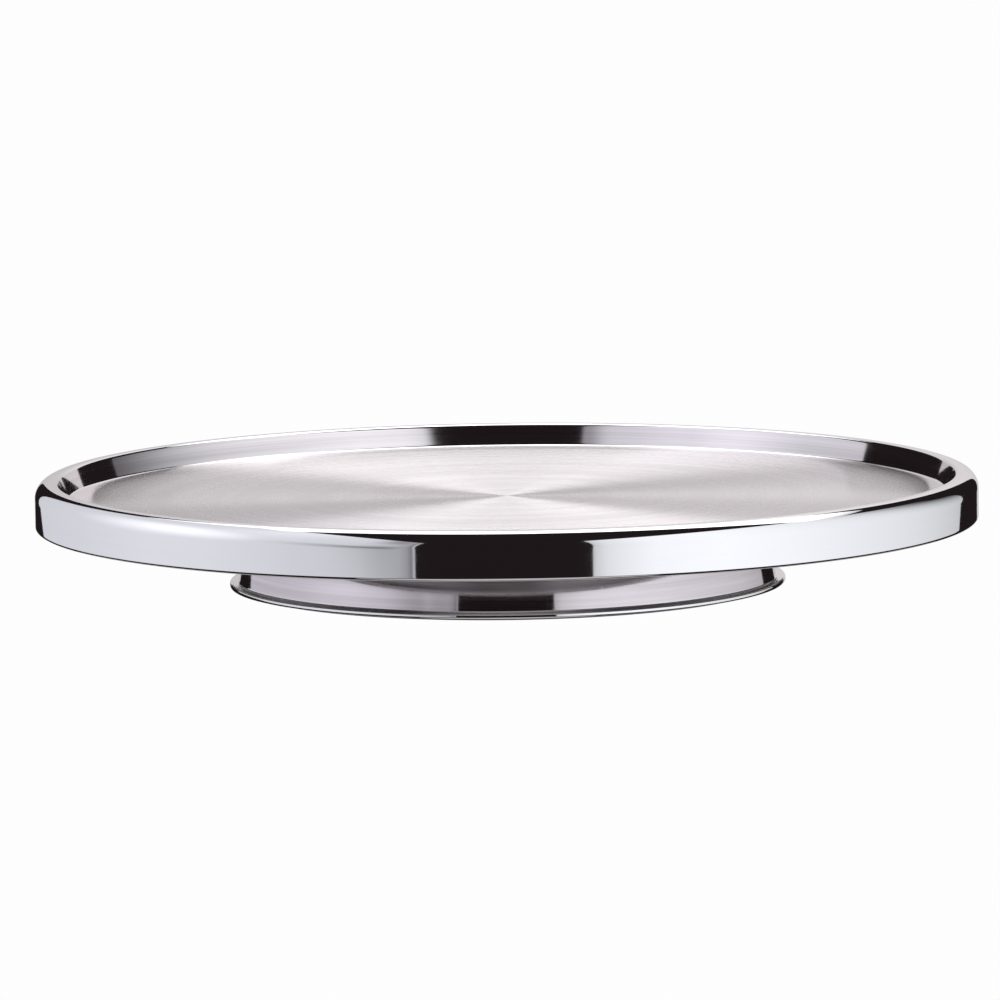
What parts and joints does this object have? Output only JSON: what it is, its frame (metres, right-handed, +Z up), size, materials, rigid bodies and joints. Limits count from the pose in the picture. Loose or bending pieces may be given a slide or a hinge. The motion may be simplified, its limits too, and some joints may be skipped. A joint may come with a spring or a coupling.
{
  "type": "cake turntable",
  "caption": "Low stainless steel cake turntable: a shallow round tray with a rolled rim that spins on a ball bearing over a round flared base.",
  "frame": {"origin": "on the turning axis, on the surface that the rubber ring stands on", "axes": "+Z up along the turning axis of the tray; X and Y are level and alike, as the part is round"},
  "size_m": [0.305, 0.305, 0.0361],
  "materials": {
    "polished_steel": "polished stainless steel rim, brushed floor",
    "satin_steel": "polished stainless steel, faintly brushed round the wall",
    "plated_steel": "zinc plated",
    "screw_steel": "zinc plated",
    "ball_steel": "hardened and polished",
    "nylon": "natural nylon",
    "rubber": "matt black"
  },
  "bodies": {
    "base": {"base_shell": "satin_steel", "non_slip_ring": "rubber", "lower_bearing_plate": "plated_steel", "pivot_rivet": "plated_steel", "lower_screw_1": "screw_steel", "lower_screw_2": "screw_steel", "lower_screw_3": "screw_steel", "lower_screw_4": "screw_steel"},
    "turntable": {"tray": "polished_steel", "backing_plate": "plated_steel", "upper_bearing_plate": "plated_steel", "pivot_bush": "nylon", "upper_screw_1": "screw_steel", "upper_screw_2": "screw_steel", "upper_screw_3": "screw_steel", "upper_screw_4": "screw_steel"},
    "ball_cage": {"ball_cage": "nylon"},
    "ball_1": {"ball_1": "ball_steel"},
    "ball_2": {"ball_2": "ball_steel"},
    "ball_3": {"ball_3": "ball_steel"},
    "ball_4": {"ball_4": "ball_steel"},
    "ball_5": {"ball_5": "ball_steel"},
    "ball_6": {"ball_6": "ball_steel"},
    "ball_7": {"ball_7": "ball_steel"},
    "ball_8": {"ball_8": "ball_steel"},
    "ball_9": {"ball_9": "ball_steel"},
    "ball_10": {"ball_10": "ball_steel"},
    "ball_11": {"ball_11": "ball_steel"},
    "ball_12": {"ball_12": "ball_steel"},
    "ball_13": {"ball_13": "ball_steel"},
    "ball_14": {"ball_14": "ball_steel"},
    "ball_15": {"ball_15": "ball_steel"},
    "ball_16": {"ball_16": "ball_steel"}
  },
  "joints": [
    {"name": "plate_spin", "type": "hinge", "parent": "base", "child": "turntable", "pos_m": [0, 0, 0.0218], "axis": [0, 0, 1], "continuous": true},
    {"name": "cage_spin", "type": "hinge", "parent": "base", "child": "ball_cage", "pos_m": [0, 0, 0.0218], "axis": [0, 0, 1], "continuous": true},
    {"name": "ball_1_roll", "type": "hinge", "parent": "ball_cage", "child": "ball_1", "pos_m": [0.046, 0, 0.02182], "axis": [1, 0, 0], "continuous": true},
    {"name": "ball_2_roll", "type": "hinge", "parent": "ball_cage", "child": "ball_2", "pos_m": [0.0425, 0.0176, 0.02182], "axis": [0.9239, 0.3827, 0], "continuous": true},
    {"name": "ball_3_roll", "type": "hinge", "parent": "ball_cage", "child": "ball_3", "pos_m": [0.03253, 0.03253, 0.02182], "axis": [0.7071, 0.7071, 0], "continuous": true},
    {"name": "ball_4_roll", "type": "hinge", "parent": "ball_cage", "child": "ball_4", "pos_m": [0.0176, 0.0425, 0.02182], "axis": [0.3827, 0.9239, 0], "continuous": true},
    {"name": "ball_5_roll", "type": "hinge", "parent": "ball_cage", "child": "ball_5", "pos_m": [0, 0.046, 0.02182], "axis": [0, 1, 0], "continuous": true},
    {"name": "ball_6_roll", "type": "hinge", "parent": "ball_cage", "child": "ball_6", "pos_m": [-0.0176, 0.0425, 0.02182], "axis": [-0.3827, 0.9239, 0], "continuous": true},
    {"name": "ball_7_roll", "type": "hinge", "parent": "ball_cage", "child": "ball_7", "pos_m": [-0.03253, 0.03253, 0.02182], "axis": [-0.7071, 0.7071, 0], "continuous": true},
    {"name": "ball_8_roll", "type": "hinge", "parent": "ball_cage", "child": "ball_8", "pos_m": [-0.0425, 0.0176, 0.02182], "axis": [-0.9239, 0.3827, 0], "continuous": true},
    {"name": "ball_9_roll", "type": "hinge", "parent": "ball_cage", "child": "ball_9", "pos_m": [-0.046, 0, 0.02182], "axis": [-1, 0, 0], "continuous": true},
    {"name": "ball_10_roll", "type": "hinge", "parent": "ball_cage", "child": "ball_10", "pos_m": [-0.0425, -0.0176, 0.02182], "axis": [-0.9239, -0.3827, 0], "continuous": true},
    {"name": "ball_11_roll", "type": "hinge", "parent": "ball_cage", "child": "ball_11", "pos_m": [-0.03253, -0.03253, 0.02182], "axis": [-0.7071, -0.7071, 0], "continuous": true},
    {"name": "ball_12_roll", "type": "hinge", "parent": "ball_cage", "child": "ball_12", "pos_m": [-0.0176, -0.0425, 0.02182], "axis": [-0.3827, -0.9239, 0], "continuous": true},
    {"name": "ball_13_roll", "type": "hinge", "parent": "ball_cage", "child": "ball_13", "pos_m": [0, -0.046, 0.02182], "axis": [0, -1, 0], "continuous": true},
    {"name": "ball_14_roll", "type": "hinge", "parent": "ball_cage", "child": "ball_14", "pos_m": [0.0176, -0.0425, 0.02182], "axis": [0.3827, -0.9239, 0], "continuous": true},
    {"name": "ball_15_roll", "type": "hinge", "parent": "ball_cage", "child": "ball_15", "pos_m": [0.03253, -0.03253, 0.02182], "axis": [0.7071, -0.7071, 0], "continuous": true},
    {"name": "ball_16_roll", "type": "hinge", "parent": "ball_cage", "child": "ball_16", "pos_m": [0.0425, -0.0176, 0.02182], "axis": [0.9239, -0.3827, 0], "continuous": true}
  ],
  "couplings": [
    {"joint": "cage_spin", "follows": "plate_spin", "ratio": 0.5},
    {"joint": "ball_1_roll", "follows": "plate_spin", "ratio": -8.3636},
    {"joint": "ball_2_roll", "follows": "plate_spin", "ratio": -8.3636},
    {"joint": "ball_3_roll", "follows": "plate_spin", "ratio": -8.3636},
    {"joint": "ball_4_roll", "follows": "plate_spin", "ratio": -8.3636},
    {"joint": "ball_5_roll", "follows": "plate_spin", "ratio": -8.3636},
    {"joint": "ball_6_roll", "follows": "plate_spin", "ratio": -8.3636},
    {"joint": "ball_7_roll", "follows": "plate_spin", "ratio": -8.3636},
    {"joint": "ball_8_roll", "follows": "plate_spin", "ratio": -8.3636},
    {"joint": "ball_9_roll", "follows": "plate_spin", "ratio": -8.3636},
    {"joint": "ball_10_roll", "follows": "plate_spin", "ratio": -8.3636},
    {"joint": "ball_11_roll", "follows": "plate_spin", "ratio": -8.3636},
    {"joint": "ball_12_roll", "follows": "plate_spin", "ratio": -8.3636},
    {"joint": "ball_13_roll", "follows": "plate_spin", "ratio": -8.3636},
    {"joint": "ball_14_roll", "follows": "plate_spin", "ratio": -8.3636},
    {"joint": "ball_15_roll", "follows": "plate_spin", "ratio": -8.3636},
    {"joint": "ball_16_roll", "follows": "plate_spin", "ratio": -8.3636}
  ]
}
